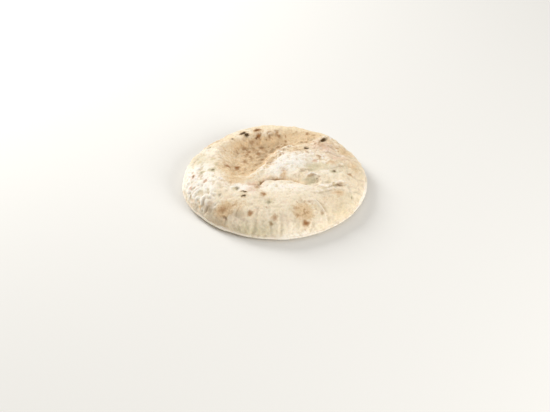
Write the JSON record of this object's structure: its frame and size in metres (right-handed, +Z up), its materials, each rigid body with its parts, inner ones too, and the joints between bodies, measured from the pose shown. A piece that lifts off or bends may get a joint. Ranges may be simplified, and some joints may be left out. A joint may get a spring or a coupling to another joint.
{
  "type": "pita bread",
  "caption": "Round puffed flatbread with a raised rim, a sunken basin at the back left, a low dome in the middle and a flat base to rest on.",
  "frame": {"origin": "the middle of the loaf's box at the level of its flat base", "axes": "+Z up from the base, +X along the loaf's slightly longer width with the basin on its -X side, -Y towards the front roll"},
  "size_m": [0.182, 0.1766, 0.0305],
  "materials": {
    "crust": "dull floury baked crust, cream with toasted patches and brown spots"
  },
  "bodies": {
    "root": {"pita_bread": "crust"}
  },
  "joints": []
}
